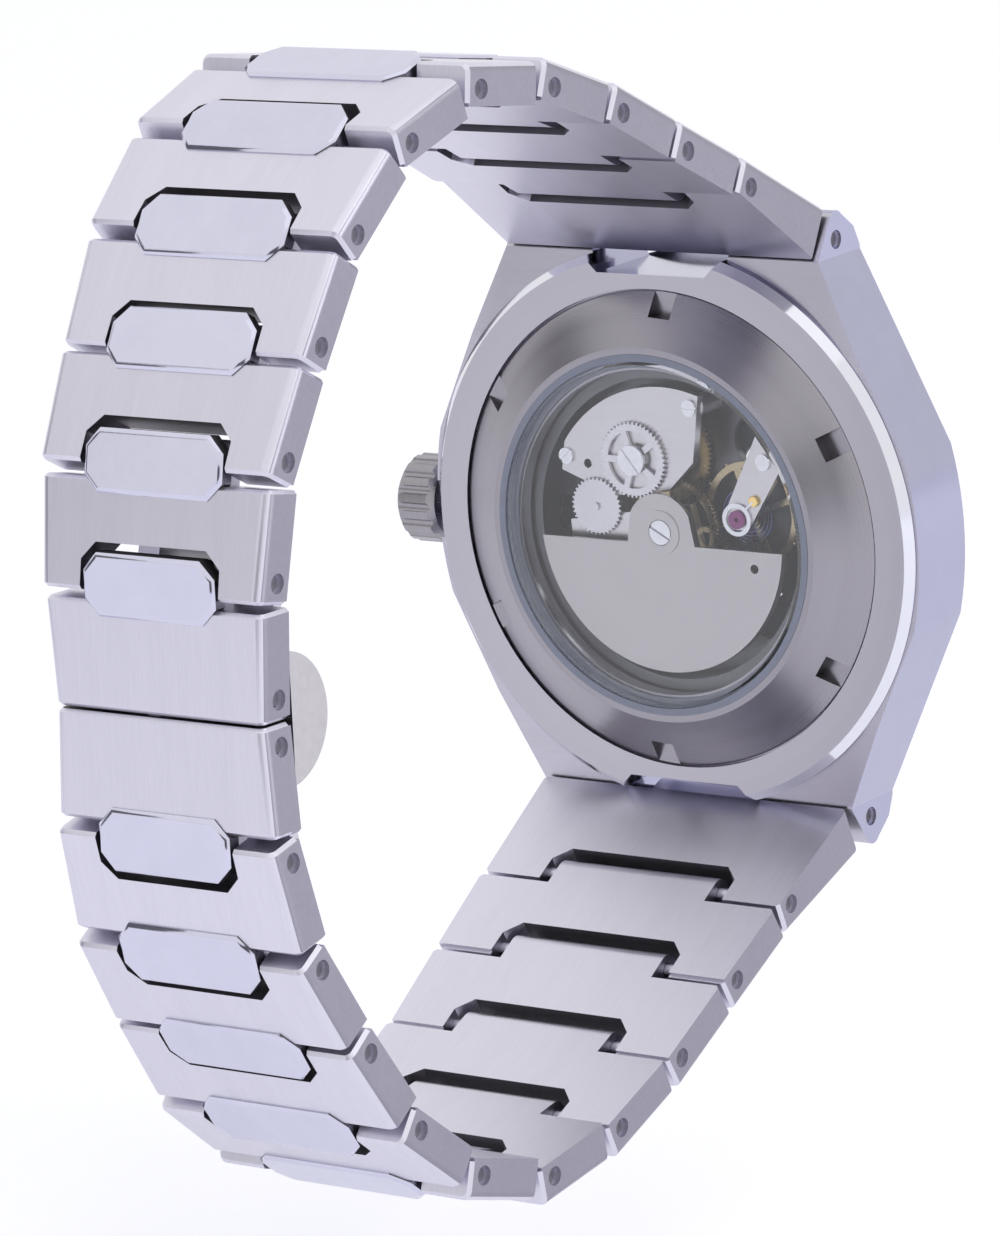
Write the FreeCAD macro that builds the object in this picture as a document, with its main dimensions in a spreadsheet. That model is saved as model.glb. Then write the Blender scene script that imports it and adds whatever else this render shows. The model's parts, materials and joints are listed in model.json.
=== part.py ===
import FreeCAD, Part
import math
import os

# A skeleton wristwatch on an integrated steel bracelet, closed with a butterfly clasp.
# Origin: centre of the case back, in the plane of the flat land round the screwed back.
# +X crown (3 o'clock), +Y out of the case back, +Z 12 o'clock. Millimetres.

os.makedirs("parts", exist_ok=True)
doc = FreeCAD.newDocument("wristwatch")

# ---------------------------------------------------------------- driving dimensions
DIMENSIONS = [
    ("land_radius", 20.7, "flat land round the case back"),
    ("flank_radius", 21.5, "case half width at 9 and 3 o'clock"),
    ("shoulder_drop", 0.7, "step from the land down to the lug shoulders"),
    ("lug_half_width", 13.87, "half width across the lugs"),
    ("lug_corner_height", 20.6, "where the lug shoulder ends"),
    ("lug_tip_height", 23.6, "tip of the lugs from the centre"),
    ("lug_pin_drop", 4.05, "lug pin below the case back land"),
    ("lug_pin_height", 21.82, "lug pin from the centre"),
    ("case_front", 7.2, "front of the middle case below the land"),
    ("back_radius", 18.1, "screwed case back"),
    ("back_rise", 2.0, "case back cone above the land"),
    ("window_radius", 13.2, "display window in the case back"),
    ("bore_radius", 15.2, "bore of the middle case"),
    ("bezel_radius", 20.0, "bezel outer radius"),
    ("bezel_height", 1.8, "bezel thickness"),
    ("crystal_radius", 16.3, "front crystal"),
    ("crown_radius", 3.4, "crown"),
    ("crown_length", 3.6, "crown"),
    ("crown_drop", 3.9, "crown axis below the case back land"),
    ("plate_radius", 12.6, "main plate of the movement"),
    ("rotor_radius", 10.7, "winding rotor"),
    ("link_pitch", 8.05, "pin to pin of a bracelet link"),
    ("first_pitch", 11.2, "pin to pin of the first links"),
    ("clasp_pitch", 7.9, "pin to pin of the two clasp links"),
    ("clasp_half_width", 8.88, "half width of the bracelet at the clasp"),
    ("link_outer", 1.8, "pin to the outer face of a link"),
    ("link_inner", 1.2, "pin to the inner face of a link"),
    ("first_inner", 2.2, "pin to the inner face of a first link at the lug"),
    ("ear_end", 1.45, "pin to the end of an ear"),
    ("shoulder_start", 1.85, "pin to the shoulder of the next link"),
    ("lower_gap", 0.4, "extra gap between the lug and the first 6 o'clock link"),
    ("cap_share", 0.6, "width of the centre cap as a share of the link"),
    ("cap_rise", 0.3, "centre cap above the link"),
    ("pin_radius", 0.55, "every bracelet pin"),
    ("pin_fit", 0.05, "running clearance round a pin"),
    ("upper_swing", 29.8, "heading of the first 12 o'clock link, degrees"),
    ("lower_swing", 20.8, "heading of the first 6 o'clock link, degrees"),
    ("arm_thickness", 0.8, "clasp arm"),
    ("bow_thickness", 0.9, "clasp bow"),
    ("arm_half_width", 2.9, "clasp arm"),
    ("bow_half_width", 5.9, "clasp bow"),
    ("clasp_curve", 38.0, "radius that the clasp follows"),
    ("clasp_reach", 13.6, "clasp seam to the bow's end hinge"),
    ("button_radius", 4.6, "half length of a clasp button"),
]
# Headings of links 2 to 10, in degrees from +Y; they shape the closed loop.
HEADINGS = [28.7, 29.0, 22.3, 8.6, -17.2, -39.5, -57.2, -60.2, -78.0]

sheet = doc.addObject("Spreadsheet::Sheet", "Dims")
for row, (alias, value, note) in enumerate(DIMENSIONS, start=1):
    sheet.set("A%d" % row, note)
    sheet.set("B%d" % row, str(value))
    sheet.setAlias("B%d" % row, alias)
for place, value in enumerate(HEADINGS, start=2):
    row = len(DIMENSIONS) + place
    sheet.set("A%d" % row, "heading of link %d, degrees" % place)
    sheet.set("B%d" % row, str(value))
    sheet.setAlias("B%d" % row, "heading_%02d" % place)
doc.recompute()

V = FreeCAD.Vector
AXIS_X = V(1, 0, 0)
AXIS_Y = V(0, 1, 0)
AXIS_Z = V(0, 0, 1)
NO_TURN = FreeCAD.Rotation()
nodes = []


def dim(alias):
    """A driving dimension, read from the sheet."""
    return float(sheet.get(alias))


def node(obj, label):
    """Marks an object as a sub-part with the name of its file."""
    obj.Label = label
    nodes.append(obj)
    return obj


# ---------------------------------------------------------------- building blocks
def cylinder(name, radius, height, base, axis):
    """Part cylinder; radius and height are expressions on the sheet."""
    obj = doc.addObject("Part::Cylinder", name)
    obj.setExpression("Radius", radius)
    obj.setExpression("Height", height)
    obj.Placement = FreeCAD.Placement(base, FreeCAD.Rotation(AXIS_Z, axis))
    return obj


def box(name, size, corner):
    """Part box; the three sizes are expressions on the sheet."""
    obj = doc.addObject("Part::Box", name)
    for side, expression in zip(("Length", "Width", "Height"), size):
        obj.setExpression(side, expression)
    obj.Placement = FreeCAD.Placement(corner, NO_TURN)
    return obj


def cut(name, base, tools):
    """Base with every tool taken away."""
    tool = tools[0]
    if len(tools) > 1:
        tool = doc.addObject("Part::MultiFuse", name + "_tools")
        tool.Shapes = tools
    obj = doc.addObject("Part::Cut", name)
    obj.Base = base
    obj.Tool = tool
    return obj


def fuse(name, shapes):
    obj = doc.addObject("Part::MultiFuse", name)
    obj.Shapes = shapes
    return obj


def common(name, shapes):
    obj = doc.addObject("Part::MultiCommon", name)
    obj.Shapes = shapes
    return obj


def group(name, members):
    """Separate solids that share one node."""
    obj = doc.addObject("Part::Compound", name)
    obj.Links = members
    return obj


def solid(name, shape, placement=None):
    """A shape made with Part's own functions."""
    obj = doc.addObject("Part::Feature", name)
    obj.Shape = shape
    if placement is not None:
        obj.Placement = placement
    return obj


def plane_of(body, role):
    return [part for part in body.Origin.OriginFeatures if part.Role == role][0]


def sketch_on(body, role, offset, name):
    sketch = body.newObject("Sketcher::SketchObject", name)
    sketch.AttachmentSupport = (plane_of(body, role), [""])
    sketch.MapMode = "FlatFace"
    sketch.AttachmentOffset = FreeCAD.Placement(V(0, 0, offset), NO_TURN)
    return sketch


def segments(points):
    """Closed outline: a point is (x, y), or (x, y, x_mid, y_mid) to reach it by an arc."""
    edges = []
    for here, there in zip(points, points[1:] + points[:1]):
        start = V(here[0], here[1], 0)
        end = V(there[0], there[1], 0)
        if len(there) == 4:
            edges.append(Part.Arc(start, V(there[2], there[3], 0), end))
        else:
            edges.append(Part.LineSegment(start, end))
    return edges


def pad(body, name, role, offset, points, length, both_ways=False, holes=()):
    """Pads an outline, with round holes (x, y, radius), by an expression on the sheet."""
    sketch = sketch_on(body, role, offset, name + "_sketch")
    sketch.addGeometry(segments(points), False)
    for x, y, radius in holes:
        sketch.addGeometry(Part.Circle(V(x, y, 0), AXIS_Z, radius), False)
    feature = body.newObject("PartDesign::Pad", name)
    feature.Profile = sketch
    feature.setExpression("Length", length)
    if both_ways:
        feature.SideType = "Symmetric"
    return feature


def turned(name, profile):
    """Body of revolution about the watch's axis from (radius, y) points."""
    body = doc.addObject("PartDesign::Body", name)
    sketch = sketch_on(body, "XY_Plane", 0, name + "_profile")
    sketch.addGeometry(segments(profile), False)
    feature = body.newObject("PartDesign::Revolution", name + "_turn")
    feature.Profile = sketch
    feature.ReferenceAxis = (sketch, ["V_Axis"])
    feature.Angle = 360
    return body


def slab(name, points, top, thickness, holes=()):
    """Flat plate square to the watch's axis: outline in X and Z, from y = top towards the dial."""
    body = doc.addObject("PartDesign::Body", name)
    pad(body, name + "_pad", "XZ_Plane", -top, points, str(thickness), holes=holes)
    return body


def ring_points(radius):
    """A full circle as two arcs."""
    return [(radius, 0, 0, -radius), (-radius, 0, 0, radius)]


def along_axis(x, z, y):
    """Start of a cylinder that runs towards +Y."""
    return V(x, y, z)


# ---------------------------------------------------------------- bracelet loop
def step(start, heading, length):
    angle = math.radians(heading)
    return (start[0] + length * math.cos(angle), start[1] + length * math.sin(angle))


def half_loop(first_heading):
    """Pins 0 to 10 and headings 1 to 10 of one half, in (y, z) with z counted outwards."""
    pins = [(-dim("lug_pin_drop"), dim("lug_pin_height"))]
    headings = [first_heading] + [dim("heading_%02d" % place) for place in range(2, 11)]
    for place, heading in enumerate(headings, start=1):
        pitch = dim("first_pitch") if place == 1 else dim("link_pitch")
        pins.append(step(pins[-1], heading, pitch))
    return pins, headings


upper_pins, upper_headings = half_loop(dim("upper_swing"))
lower_pins, lower_headings = half_loop(dim("lower_swing"))
# The two clasp links lie in one line between the tenth pins of both halves.
line_y = lower_pins[10][0] - upper_pins[10][0]
line_z = -lower_pins[10][1] - upper_pins[10][1]
line_heading = math.degrees(math.atan2(line_z, line_y))
upper_headings.append(line_heading)
lower_headings.append(-(180.0 + line_heading))
upper_pins.append(step(upper_pins[10], upper_headings[10], dim("clasp_pitch")))
lower_pins.append(step(lower_pins[10], lower_headings[10], dim("clasp_pitch")))
seam_y = (upper_pins[11][0] + lower_pins[11][0]) / 2
seam_z = (upper_pins[11][1] - lower_pins[11][1]) / 2
seam_reach = math.dist(upper_pins[11], (seam_y, seam_z))


def half_width(place):
    """Half width of the bracelet at a pin: it tapers evenly from the lugs to the clasp."""
    lug = dim("lug_half_width") - 0.25
    return lug + (dim("clasp_half_width") - lug) * place / 11.0


def link_frame(pin, heading, side):
    """Local x across, y along the bracelet, z outwards; side is 1 at 12 and -1 at 6 o'clock."""
    angle = math.radians(heading)
    along = V(0, math.cos(angle), side * math.sin(angle))
    outward = V(0, -math.sin(angle), side * math.cos(angle))
    across = along.cross(outward)
    return FreeCAD.Placement(FreeCAD.Matrix(
        across.x, along.x, outward.x, 0,
        across.y, along.y, outward.y, pin[0],
        across.z, along.z, outward.z, side * pin[1],
        0, 0, 0, 1))


def edges_named(shape, wanted):
    """Names of the edges whose middle satisfies a test."""
    names = []
    for number, edge in enumerate(shape.Edges, start=1):
        middle = edge.valueAt((edge.FirstParameter + edge.LastParameter) / 2)
        if wanted(middle, edge):
            names.append("Edge%d" % number)
    return names


def hexagon(half, start, end, corner):
    """Elongated hexagon across the bracelet, from start to end along it."""
    return [(-half + corner, start), (half - corner, start), (half, start + corner),
            (half, end - corner), (half - corner, end), (-half + corner, end),
            (-half, end - corner), (-half, start + corner)]


def link_plan(near, far, start, end, notch):
    """Plan of a link: a tapered plate, with a notch for the next link between two ears."""
    if not notch:
        return [(-near, start), (near, start), (far, end), (-far, end)]
    corner = 1.2
    floor = end - dim("ear_end") - 1.85
    return [(-near, start), (near, start), (far, end), (notch, end),
            (notch, floor + corner), (notch - corner, floor), (corner - notch, floor),
            (-notch, floor + corner), (-notch, end), (-far, end)]


def make_link(name, place, pins, headings, side):
    """One bracelet link with the pin of its clasp end; every size is in the link's own frame."""
    pitch = dim("link_pitch")
    if place == 1:
        pitch = dim("first_pitch")
    if place == 11:
        pitch = dim("clasp_pitch")
    start = dim("shoulder_start")
    if place == 1 and side < 0:
        start += dim("lower_gap")
    end = pitch + dim("ear_end")
    if place == 11:
        end = pitch + seam_reach - 0.1
    near = half_width(place - 1)
    far = half_width(place)
    cap_half = dim("cap_share") * near
    if place == 1:
        cap_half = 5.7
    notch = 0 if place == 11 else dim("cap_share") * far + 0.3
    inner = dim("first_inner") if place == 1 else dim("link_inner")
    body = doc.addObject("PartDesign::Body", name + "_body")
    plate = pad(body, name + "_plate", "XY_Plane", -inner,
        link_plan(near, far, start, end, notch), "Dims.link_outer + %s" % inner)
    doc.recompute()
    top = dim("link_outer")

    def long_outer_edge(middle, edge):
        return abs(middle.z - top) < 1e-3 and abs(middle.x) > far - 0.2 and edge.Length > 4

    fillet = body.newObject("PartDesign::Fillet", name + "_softened")
    fillet.Base = (plate, edges_named(plate.Shape, long_outer_edge))
    fillet.Radius = 0.7
    doc.recompute()

    def outer_end_edge(middle, edge):
        at_end = abs(middle.y - start) < 1e-3 or abs(middle.y - end) < 1e-3
        return abs(middle.z - top) < 1e-3 and at_end and edge.Length > 1.5

    chamfer = body.newObject("PartDesign::Chamfer", name + "_ends")
    chamfer.Base = (fillet, edges_named(fillet.Shape, outer_end_edge))
    chamfer.Size = 0.25
    tongue = 1.2
    pad(body, name + "_tongue", "YZ_Plane", 0,
        [(0, -tongue, -tongue, 0), (start + 1, -tongue), (start + 1, tongue), (0, tongue)],
        "%s * 2" % (cap_half - 0.9), both_ways=True)
    cap = pad(body, name + "_cap", "XY_Plane", 0.9,
              hexagon(cap_half, -1.5, 2.9, 1.2), "Dims.link_outer + Dims.cap_rise - 0.9")
    doc.recompute()
    crest = top + dim("cap_rise")

    def crest_edge(middle, edge):
        return abs(middle.z - crest) < 1e-3

    bevel = body.newObject("PartDesign::Chamfer", name + "_cap_bevel")
    bevel.Base = (cap, edges_named(cap.Shape, crest_edge))
    bevel.Size = 0.22
    tools = [cylinder(name + "_near_bore", "Dims.pin_radius + Dims.pin_fit", "60",
                      V(-30, 0, 0), AXIS_X),
             cylinder(name + "_far_bore", "Dims.pin_radius", "60", V(-30, pitch, 0), AXIS_X)]
    for hand in (-1, 1):
        sink = V(hand * (far - 0.35), pitch, 0)
        tools.append(cylinder(name + "_sink%d" % hand, "Dims.pin_radius + 0.15", "3",
                              sink, AXIS_X * hand))
        wedge = box(name + "_relief%d" % hand, ("8", "0.45", "0.45"),
                    V(-4 + hand * (far - 4 + 0.5), end - 0.25, -inner - 0.21))
        tools.append(wedge)
    if place == 1:
        slope = math.degrees(math.atan2(inner - dim("link_inner"), pitch - start - 1.5))
        under = box(name + "_under", ("40", "20", "3"), V(-20, 0, -3))
        turn = FreeCAD.Rotation(AXIS_X, slope)
        under.Placement = FreeCAD.Placement(
            V(0, start, -inner) + turn.multVec(V(-20, 0, -3)), turn)
        tools.append(under)
    if place == 11:
        tools.append(box(name + "_eye_slot", ("2 * (Dims.arm_half_width + 0.3)", "6", "2.4"),
                         V(-dim("arm_half_width") - 0.3, pitch - 1.5, -1.3)))
    drilled = cut(name + "_drilled", body, tools)
    pin = cylinder(name + "_pin", "Dims.pin_radius", str(2 * far - 0.9),
                   V(-far + 0.45, pitch, 0), AXIS_X)
    pair = group(name, [drilled, pin])
    pair.Placement = link_frame(pins[place - 1], headings[place - 1], side)
    return node(pair, name)


for number in range(1, 12):
    make_link("upper_link_%02d" % number, number, upper_pins, upper_headings, 1)
for number in range(1, 12):
    make_link("lower_link_%02d" % number, number, lower_pins, lower_headings, -1)


# ---------------------------------------------------------------- butterfly clasp
# Clasp frame: origin at the seam, y down the bracelet, z outwards, as the upper links'.
clasp_frame = link_frame((seam_y, seam_z), line_heading, 1)


def bowed(level, reach, thickness):
    """Side outline of a strip that follows the wrist: level at the seam, ends curve inwards."""
    sag = reach * reach / (2 * dim("clasp_curve"))
    low = level - thickness
    return [(-reach, level - sag), (reach, level - sag, 0, level),
            (reach, low - sag), (-reach, low - sag, 0, low)]


def clasp_sag(reach):
    return reach * reach / (2 * dim("clasp_curve"))


def make_arm(name, side):
    """Arm from the clasp link's pin to the bow's end hinge; side -1 towards 12 o'clock."""
    pin_at = side * seam_reach
    hinge_at = side * dim("clasp_reach")
    level = -1.65
    thickness = dim("arm_thickness")
    root = side * (seam_reach + 0.4)
    middle = (root + hinge_at) / 2
    edge_at = hinge_at - side * 0.4
    outline = [(root, level - 0.03),
               (edge_at, level - clasp_sag(edge_at), middle, level - clasp_sag(middle)),
               (edge_at, level - clasp_sag(edge_at) - thickness),
               (root, level - 0.03 - thickness, middle, level - clasp_sag(middle) - thickness)]
    body = doc.addObject("PartDesign::Body", name + "_strip")
    pad(body, name + "_pad", "YZ_Plane", 0, outline, "2 * Dims.arm_half_width", both_ways=True)
    width = "2 * Dims.arm_half_width"
    corner = -dim("arm_half_width")
    eye = cylinder(name + "_eye", "0.95", width, V(corner, pin_at, 0), AXIS_X)
    neck = box(name + "_neck", (width, "1.3", "2.4"),
               V(corner, pin_at - 0.65, -2.4))
    knuckle_level = level - clasp_sag(dim("clasp_reach")) - thickness / 2
    knuckle = cylinder(name + "_knuckle", "0.75", width,
                       V(corner, hinge_at, knuckle_level), AXIS_X)
    whole = fuse(name + "_whole", [body, eye, neck, knuckle])
    bores = [cylinder(name + "_pin_bore", "Dims.pin_radius + Dims.pin_fit", "20",
                      V(-10, pin_at, 0), AXIS_X),
             cylinder(name + "_hinge_bore", "0.4", "20",
                      V(-10, hinge_at, knuckle_level), AXIS_X)]
    if side == 1:
        bores.append(box(name + "_hook_mouth", (width, "1.4", "1.4"),
                         V(corner, pin_at, -0.7)))
    arm = cut(name, whole, bores)
    arm.Placement = clasp_frame
    node(arm, name)
    return knuckle_level


knuckle_level = make_arm("clasp_arm_upper", -1)
make_arm("clasp_arm_lower", 1)


def make_bow():
    """Curved bow with end knuckles and hinge pins, and the block that guides both buttons."""
    reach = dim("clasp_reach")
    level = -3.25
    strip = doc.addObject("PartDesign::Body", "bow_strip")
    inner_reach = reach + 0.5
    pad(strip, "bow_strip_pad", "YZ_Plane", 0, bowed(level, inner_reach, dim("bow_thickness")),
        "2 * Dims.bow_half_width", both_ways=True)
    block = box("bow_block", ("2 * Dims.bow_half_width", "7", "2.1"),
                V(-dim("bow_half_width"), -3.5, -5.0))
    shapes = [strip, block]
    half = dim("bow_half_width")
    lug = half - dim("arm_half_width") - 0.25
    for side in (-1, 1):
        for hand in (-1, 1):
            tag = "%d%d" % (side, hand)
            x = hand * (half - lug / 2) - lug / 2
            shapes.append(cylinder("bow_knuckle" + tag, "0.75", str(lug),
                                   V(x, side * reach, knuckle_level), AXIS_X))
            shapes.append(box("bow_web" + tag, (str(lug), "1.2", "1.1"),
                              V(x, side * reach - 0.6, knuckle_level - 1.3)))
    whole = fuse("bow_whole", shapes)
    tools = []
    for side in (-1, 1):
        tools.append(cylinder("bow_pin_bore%d" % side, "0.35", "20",
                              V(-10, side * reach, knuckle_level), AXIS_X))
        tools.append(box("bow_arm_gap%d" % side,
                         ("2 * (Dims.arm_half_width + 0.25)", "2.2", "2.6"),
                         V(-dim("arm_half_width") - 0.25, side * reach - 1.1,
                           knuckle_level - 1.15)))
    tools.append(cylinder("bow_button_bore", "0.75", "20", V(-10, 0, -4.1), AXIS_X))
    bow = cut("bow_drilled", whole, tools)
    pins = [cylinder("bow_hinge_pin%d" % side, "0.35", str(2 * half - 0.2),
                     V(0.1 - half, side * reach, knuckle_level), AXIS_X) for side in (-1, 1)]
    whole_bow = group("clasp_bow", [bow] + pins)
    whole_bow.Placement = clasp_frame
    return node(whole_bow, "clasp_bow")


make_bow()


def make_button(name, hand):
    """Half-moon push button with its guide stem."""
    radius = dim("button_radius")
    flat = -1.55
    body = doc.addObject("PartDesign::Body", name + "_moon")
    pad(body, name + "_pad", "YZ_Plane", hand * 7.9 - 0.9,
        [(-radius, flat, 0, flat - 3.9), (radius, flat)], "1.8")
    base = V(hand * 7.1, 0, -4.1)
    stem = cylinder(name + "_stem", "0.7", "3.6", base, AXIS_X * -hand)
    button = fuse(name, [body, stem])
    button.Placement = clasp_frame
    return node(button, name)


make_button("clasp_button_left", -1)
make_button("clasp_button_right", 1)


# ---------------------------------------------------------------- case
def make_middle_case():
    """Middle case with four integrated lugs, cut from one block of steel."""
    lug = dim("lug_half_width")
    corner = dim("lug_corner_height")
    tip = dim("lug_tip_height") + 1
    knee_x = 20.75
    knee_z = 6.4
    flank = dim("flank_radius")
    plan = doc.addObject("PartDesign::Body", "case_plan")
    pad(plan, "case_plan_pad", "XZ_Plane", dim("shoulder_drop"),
        [(-lug, tip), (lug, tip), (lug, corner), (knee_x, knee_z),
         (knee_x, -knee_z, flank, 0), (lug, -corner), (lug, -tip), (-lug, -tip),
         (-lug, -corner), (-knee_x, -knee_z), (-knee_x, knee_z, -flank, 0), (-lug, corner)],
        "Dims.case_front - Dims.shoulder_drop")
    side = doc.addObject("PartDesign::Body", "case_side")
    drop = -dim("shoulder_drop")
    front = -dim("case_front")
    half = [(drop, 14.0), (-1.45, corner), (-3.35, 23.45), (-4.9, 23.6, -4.2, 23.95),
            (-6.5, 22.4), (front, 20.9)]
    mirrored = [(front, -20.9), (-6.5, -22.4), (-4.9, -23.6), (-3.35, -23.45, -4.2, -23.95),
                (-1.45, -corner), (drop, -14.0)]
    pad(side, "case_side_pad", "YZ_Plane", 0, half + mirrored, "60", both_ways=True)
    block = common("case_block", [plan, side])
    land = turned("case_land", [(0, -2.0), (21.3, -2.0), (21.3, -0.62),
                                (dim("land_radius"), 0), (0, 0)])
    inside = doc.addObject("PartDesign::Body", "case_land_limit")
    pad(inside, "case_land_limit_pad", "XZ_Plane", -0.5,
        [(-lug, 21.2), (lug, 21.2), (lug, corner), (knee_x, knee_z),
         (knee_x, -knee_z, flank, 0), (lug, -corner), (lug, -21.2), (-lug, -21.2),
         (-lug, -corner), (-knee_x, -knee_z), (-knee_x, knee_z, -flank, 0), (-lug, corner)],
        "3")
    raised = fuse("case_raised", [block, common("case_land_cut", [land, inside])])
    tools = [
        cylinder("case_bore", "Dims.bore_radius", "20", V(0, -15, 0), AXIS_Y),
        cylinder("case_back_seat", "Dims.back_radius + 0.15", "3", V(0, -0.9, 0), AXIS_Y),
        cylinder("case_back_thread", "16.6", "6", V(0, -2.4, 0), AXIS_Y),
        cylinder("case_bezel_seat", "Dims.crystal_radius + 1.15", "5", V(0, -11.55, 0), AXIS_Y),
        cylinder("case_stem_bore", "1.25", "14", V(10, -dim("crown_drop"), 0), AXIS_X),
        cylinder("case_crown_seat", "Dims.crown_radius + 0.5", "5",
                 V(20.9, -dim("crown_drop"), 0), AXIS_X),
    ]
    for sign in (-1, 1):
        notch = doc.addObject("PartDesign::Body", "case_notch%d" % sign)
        floor = 19.3 * sign
        pad(notch, "case_notch_pad%d" % sign, "XZ_Plane", -3,
            [(-4.8, floor), (4.8, floor), (6.05, floor + 1.25 * sign), (6.05, 30 * sign),
             (-6.05, 30 * sign), (-6.05, floor + 1.25 * sign)], "20")
        tools.append(notch)
        pin_z = sign * dim("lug_pin_height")
        tools.append(cylinder("case_pin_bore%d" % sign, "Dims.pin_radius", "60",
                              V(-30, -dim("lug_pin_drop"), pin_z), AXIS_X))
        for hand in (-1, 1):
            tools.append(cylinder("case_pin_sink%d%d" % (sign, hand),
                                  "Dims.pin_radius + 0.15", "3",
                                  V(hand * (lug - 0.35), -dim("lug_pin_drop"), pin_z),
                                  AXIS_X * hand))
    return node(cut("mid_case", raised, tools), "mid_case")


make_middle_case()

lug_reach = dim("lug_half_width") - 0.45
node(group("lug_pins", [
    cylinder("lug_pin%d" % sign, "Dims.pin_radius", str(2 * lug_reach),
             V(-lug_reach, -dim("lug_pin_drop"), sign * dim("lug_pin_height")), AXIS_X)
    for sign in (-1, 1)]), "lug_pins")

front = -dim("case_front")
bezel_front = front - dim("bezel_height")
glass_edge = dim("crystal_radius") + 0.45
node(turned("bezel", [(15.3, front - 0.02), (15.3, front - 0.5), (glass_edge, front - 0.5),
                      (glass_edge, bezel_front), (17.6, bezel_front - 0.15),
                      (19.4, bezel_front + 0.3), (dim("bezel_radius"), bezel_front + 0.9),
                      (dim("bezel_radius"), front), (17.4, front), (17.4, front + 0.6),
                      (16.6, front + 0.6), (16.6, front - 0.02)]), "bezel")
crystal_back = front - 0.55
crystal_front = bezel_front - 0.5
node(turned("crystal", [(0, crystal_back), (dim("crystal_radius"), crystal_back),
                        (dim("crystal_radius"), crystal_front + 0.4),
                        (dim("crystal_radius") - 0.4, crystal_front), (0, crystal_front)]),
     "crystal")

# ---------------------------------------------------------------- case back
rise = dim("back_rise")
window = dim("window_radius")
ledge = window + 0.55
back_blank = turned("back_blank", [
    (12.4, 0.6), (ledge, 0.6), (ledge, rise + 0.1), (ledge + 0.5, rise + 0.1),
    (17.7, 0.15), (dim("back_radius"), -0.15), (dim("back_radius"), -0.85),
    (16.55, -0.85), (16.55, -2.3), (15.3, -2.3), (15.3, -0.6), (12.4, -0.6)])
wrench = []
for turn in range(6):
    angle = math.radians(34 + 60 * turn)
    slot = box("wrench_slot%d" % turn, ("2.2", "2", "1.9"), V(0, 0, 0))
    slot.Placement = FreeCAD.Placement(
        V(16.3 * math.cos(angle), -0.15, 16.3 * math.sin(angle)),
        FreeCAD.Rotation(AXIS_Y, -math.degrees(angle)))
    slot.Placement = slot.Placement.multiply(
        FreeCAD.Placement(V(0, 0, -0.95), NO_TURN))
    wrench.append(slot)
node(cut("back_ring", back_blank, wrench), "back_ring")
node(turned("back_glass", [(0, 0.85), (window - 0.02, 0.85), (window - 0.02, rise),
                           (window - 0.25, rise + 0.2), (0, rise + 0.2)]), "back_glass")
window_seal = turned("window_seal", [(12.6, 0.62), (ledge - 0.01, 0.62),
                                     (ledge - 0.01, rise + 0.15),
                                     (window, rise + 0.15), (window, 0.83), (12.6, 0.83)])
crystal_seal = turned("crystal_seal", [(dim("crystal_radius") + 0.01, crystal_back),
                                       (glass_edge - 0.01, crystal_back),
                                       (glass_edge - 0.01, bezel_front + 0.1),
                                       (dim("crystal_radius") + 0.01, bezel_front + 0.1)])
back_seal = turned("back_seal", [(16.7, -0.89), (17.9, -0.89), (17.9, -0.86), (16.7, -0.86)])
node(group("gaskets", [window_seal, crystal_seal, back_seal]), "gaskets")

# ---------------------------------------------------------------- crown
crown_y = -dim("crown_drop")
crown_x = 22.1
crown_blank = doc.addObject("PartDesign::Body", "crown_blank")
crown_r = dim("crown_radius")
crown_l = dim("crown_length")
crown_sketch = sketch_on(crown_blank, "XY_Plane", 0, "crown_profile")
crown_sketch.addGeometry(segments([
    (0, 0), (crown_l, 0), (crown_l, crown_r - 0.6, crown_l + 0.15, (crown_r - 0.6) / 2),
    (crown_l - 0.5, crown_r), (0.5, crown_r), (0, crown_r - 0.45)]), False)
crown_turn = crown_blank.newObject("PartDesign::Revolution", "crown_turn")
crown_turn.Profile = crown_sketch
crown_turn.ReferenceAxis = (crown_sketch, ["H_Axis"])
crown_turn.Angle = 360
flutes = []
for flute in range(16):
    angle = 2 * math.pi * flute / 16
    flutes.append(cylinder("crown_flute%d" % flute, "0.4", "4.6",
                           V(-0.5, (crown_r + 0.18) * math.cos(angle),
                             (crown_r + 0.18) * math.sin(angle)), AXIS_X))
crown_bore = cylinder("crown_bore", "0.5", "2.2", V(-0.1, 0, 0), AXIS_X)
crown = cut("crown", crown_blank, flutes + [crown_bore])
crown.Placement = FreeCAD.Placement(V(crown_x, crown_y, 0), NO_TURN)
node(crown, "crown")
stem = fuse("winding_stem", [
    cylinder("stem_rod", "0.45", "12.4", V(11.6, crown_y, 0), AXIS_X),
    cylinder("stem_sleeve", "1.0", "7.6", V(14.2, crown_y, 0), AXIS_X)])
node(stem, "winding_stem")

# ---------------------------------------------------------------- movement
plate_r = dim("plate_radius")
ring_blank = turned("movement_ring_blank", [
    (plate_r + 0.05, -4.93), (15.1, -4.93), (15.1, -1.0), (plate_r + 0.05, -1.0)])
ring_slot = box("movement_ring_slot", ("6", "2.8", "2.8"), V(12, crown_y - 1.4, -1.4))
node(cut("movement_ring", ring_blank, [ring_slot]), "movement_ring")

BARREL = (2.6, 5.2)
THIRD = (2.4, -3.2)
ESCAPE = (-2.95, -3.0)
PALLET = (-4.96, -0.75)
BALANCE = (-6.3, 1.2)
REVERSER = (6.2, 1.4)

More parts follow.
